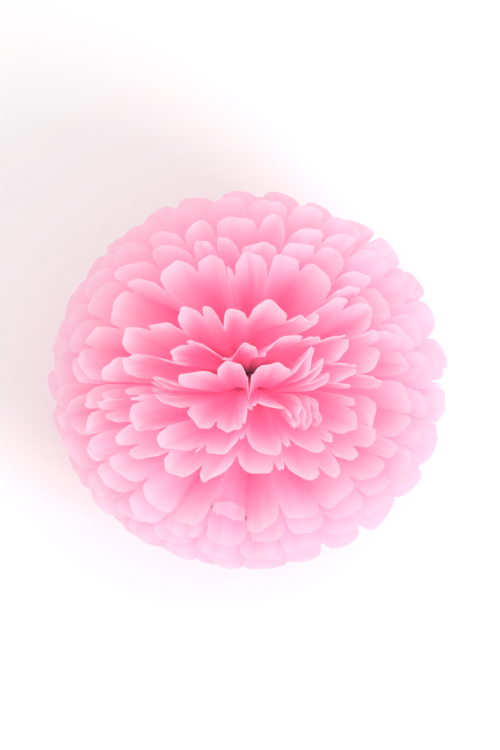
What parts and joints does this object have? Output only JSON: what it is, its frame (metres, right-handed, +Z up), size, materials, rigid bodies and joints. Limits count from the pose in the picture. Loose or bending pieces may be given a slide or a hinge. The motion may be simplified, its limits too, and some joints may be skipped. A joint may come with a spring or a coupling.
{
  "type": "tissue paper pom pom",
  "caption": "Ball-shaped paper flower of pleated tissue sheets, tied round the middle, fanned out and pulled apart into layers of round petals.",
  "frame": {"origin": "under the middle of the ball, on the surface that it lies on", "axes": "+Z up, out of the flower's opening, -Y to the front, where the opening leans, X along the seams between the two half fans"},
  "size_m": [0.2462, 0.2338, 0.2139],
  "materials": {
    "tissue_paper": "thin soft pink tissue, matt, light shines through it",
    "tie_thread": "matt off-white twisted thread"
  },
  "bodies": {
    "root": {"sheet_01": "tissue_paper", "sheet_02": "tissue_paper", "sheet_03": "tissue_paper", "sheet_04": "tissue_paper", "sheet_05": "tissue_paper", "sheet_06": "tissue_paper", "sheet_07": "tissue_paper", "sheet_08": "tissue_paper", "sheet_09": "tissue_paper", "sheet_10": "tissue_paper", "sheet_11": "tissue_paper", "sheet_12": "tissue_paper", "sheet_13": "tissue_paper", "sheet_14": "tissue_paper", "tie": "tie_thread"}
  },
  "joints": []
}
